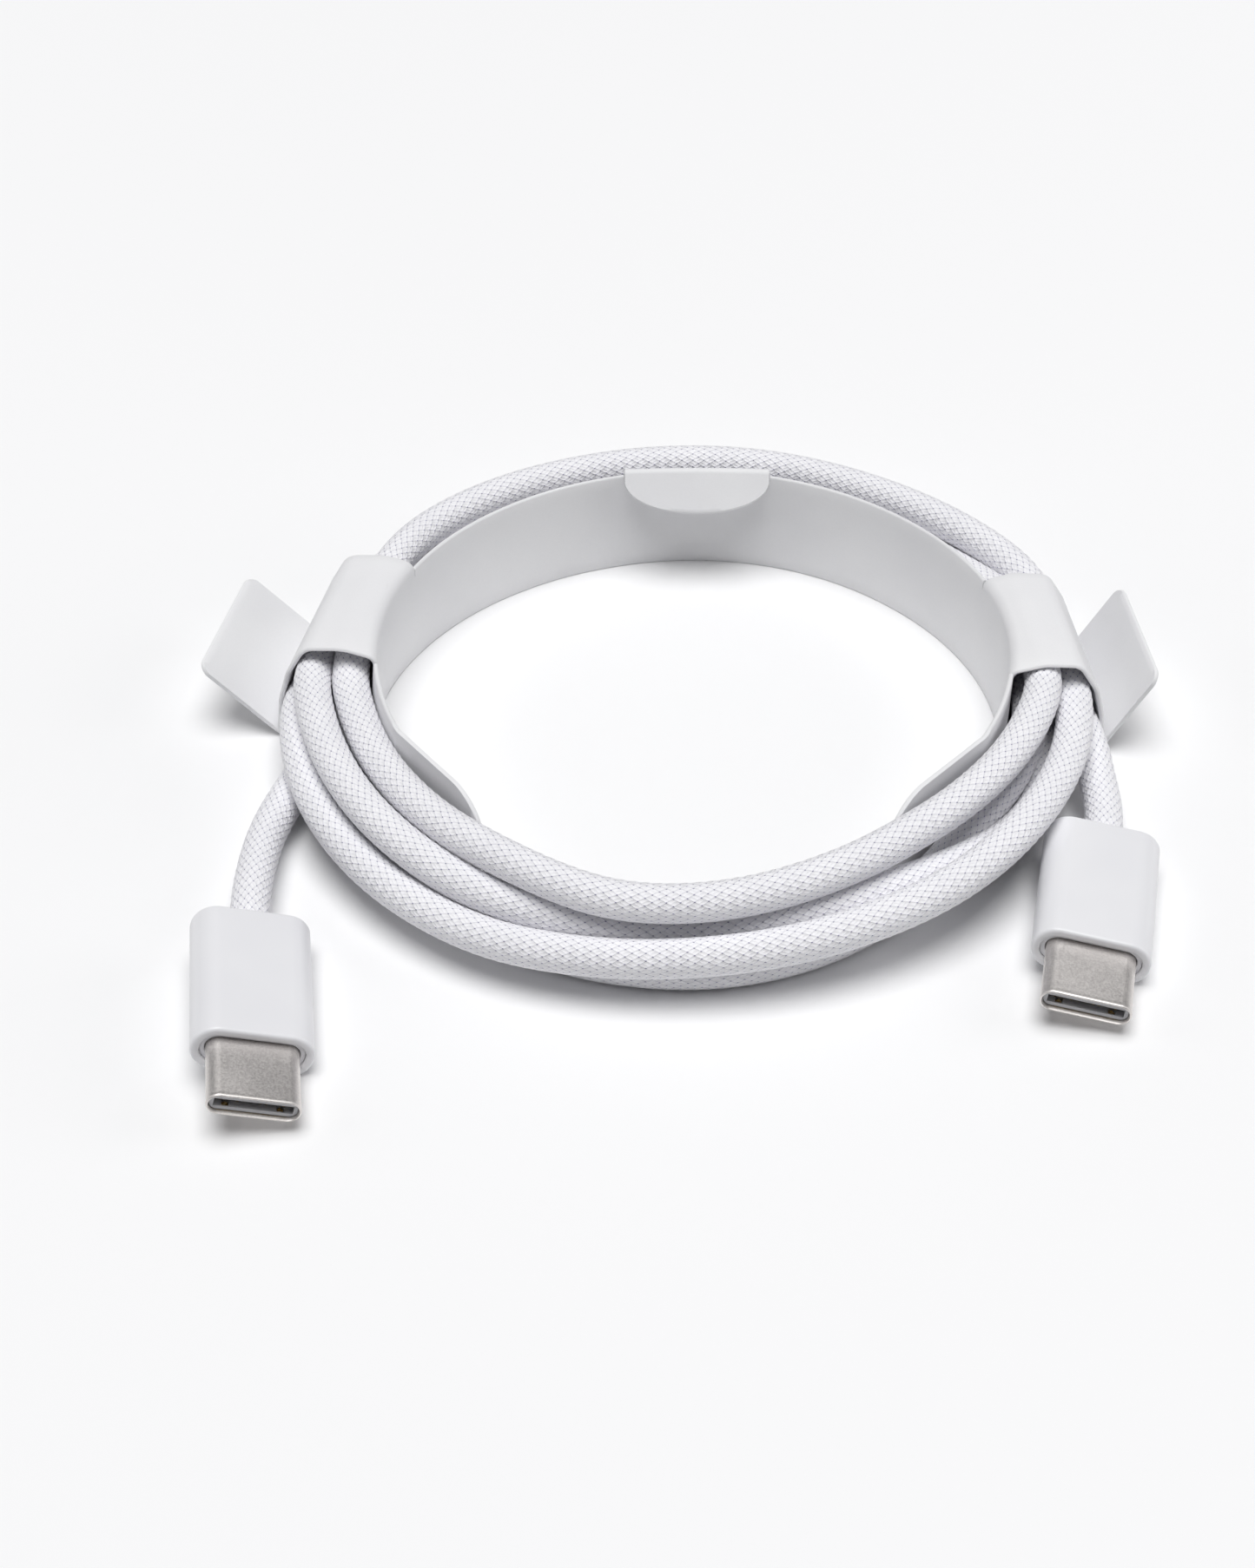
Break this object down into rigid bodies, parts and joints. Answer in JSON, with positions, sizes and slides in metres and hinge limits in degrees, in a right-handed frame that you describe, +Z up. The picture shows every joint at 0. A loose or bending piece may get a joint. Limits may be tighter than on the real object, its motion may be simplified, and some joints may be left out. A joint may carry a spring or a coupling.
{
  "type": "braided charging cable",
  "caption": "Woven charging cable with a reversible oval plug at each end, coiled flat and held by a folded card wrap with pull tabs.",
  "frame": {"origin": "on the table, under the middle of the box that the plugs and the card wrap span", "axes": "+Z up from the table; both plugs point towards -Y; +X to the right seen from the plugs' side"},
  "size_m": [0.0934, 0.091, 0.0115],
  "materials": {
    "braid": "white woven nylon braid of paired yarns in small diamonds",
    "card": "matte white coated card, 0.45 mm",
    "white_plastic": "satin white moulded plastic",
    "bezel_plastic": "fine matte white moulded plastic",
    "plug_steel": "satin bead-blasted stainless steel with a bright lip",
    "black_plastic": "dark moulded contact carrier",
    "gold_plate": "gold plating, bright",
    "spring_steel": "stamped spring steel",
    "board_green": "glass-fibre circuit board with solder mask",
    "copper": "drawn copper alloy",
    "relief_rubber": "soft moulded elastomer"
  },
  "bodies": {
    "coiled_cable_and_wrap": {"left_plug_housing": "white_plastic", "left_plug_bezel": "bezel_plastic", "left_plug_shell": "plug_steel", "left_contact_carrier": "black_plastic", "left_upper_ground_spring": "gold_plate", "left_lower_ground_spring": "gold_plate", "left_latch_plate": "spring_steel", "left_contact_a1": "gold_plate", "left_contact_a4": "gold_plate", "left_contact_a5": "gold_plate", "left_contact_a6": "gold_plate", "left_contact_a7": "gold_plate", "left_contact_a9": "gold_plate", "left_contact_a12": "gold_plate", "left_contact_b12": "gold_plate", "left_contact_b9": "gold_plate", "left_contact_b5": "gold_plate", "left_contact_b4": "gold_plate", "left_contact_b1": "gold_plate", "left_circuit_board": "board_green", "left_controller_chip": "black_plastic", "left_shield_can": "spring_steel", "left_crimp_ferrule": "copper", "left_strain_relief": "relief_rubber", "right_plug_housing": "white_plastic", "right_plug_bezel": "bezel_plastic", "right_plug_shell": "plug_steel", "right_contact_carrier": "black_plastic", "right_upper_ground_spring": "gold_plate", "right_lower_ground_spring": "gold_plate", "right_latch_plate": "spring_steel", "right_contact_a1": "gold_plate", "right_contact_a4": "gold_plate", "right_contact_a5": "gold_plate", "right_contact_a6": "gold_plate", "right_contact_a7": "gold_plate", "right_contact_a9": "gold_plate", "right_contact_a12": "gold_plate", "right_contact_b12": "gold_plate", "right_contact_b9": "gold_plate", "right_contact_b5": "gold_plate", "right_contact_b4": "gold_plate", "right_contact_b1": "gold_plate", "right_circuit_board": "board_green", "right_controller_chip": "black_plastic", "right_shield_can": "spring_steel", "right_crimp_ferrule": "copper", "right_strain_relief": "relief_rubber", "inner_band": "card", "left_cuff": "card", "right_cuff": "card", "cable_coil": "braid", "left_cable_tail": "braid", "right_cable_tail": "braid"},
    "left_pull_tab": {"left_pull_tab": "card"},
    "right_pull_tab": {"right_pull_tab": "card"},
    "left_band_tongue": {"left_band_tongue": "card"},
    "right_band_tongue": {"right_band_tongue": "card"},
    "rear_tab": {"rear_tab": "card"}
  },
  "joints": [
    {"name": "left_pull_tab_crease", "type": "hinge", "parent": "coiled_cable_and_wrap", "child": "left_pull_tab", "pos_m": [-0.03879, 0.01983, 0.00153], "axis": [0.2079, 0.9781, 0], "range_deg": [-38, 46]},
    {"name": "right_pull_tab_crease", "type": "hinge", "parent": "coiled_cable_and_wrap", "child": "right_pull_tab", "pos_m": [0.04113, 0.01704, 0.00153], "axis": [0.1392, -0.9903, 0], "range_deg": [-54, 29]},
    {"name": "left_tongue_crease", "type": "hinge", "parent": "coiled_cable_and_wrap", "child": "left_band_tongue", "pos_m": [-0.02715, 0.00062, 0.00553], "axis": [0, 0, 1], "range_deg": [-3, 95]},
    {"name": "right_tongue_crease", "type": "hinge", "parent": "coiled_cable_and_wrap", "child": "right_band_tongue", "pos_m": [0.0288, 0.00013, 0.00553], "axis": [0, 0, -1], "range_deg": [-3, 95]},
    {"name": "rear_tab_crease", "type": "hinge", "parent": "coiled_cable_and_wrap", "child": "rear_tab", "pos_m": [0.00092, 0.04014, 0.01113], "axis": [-1, 0, 0], "range_deg": [-25, 140]}
  ]
}
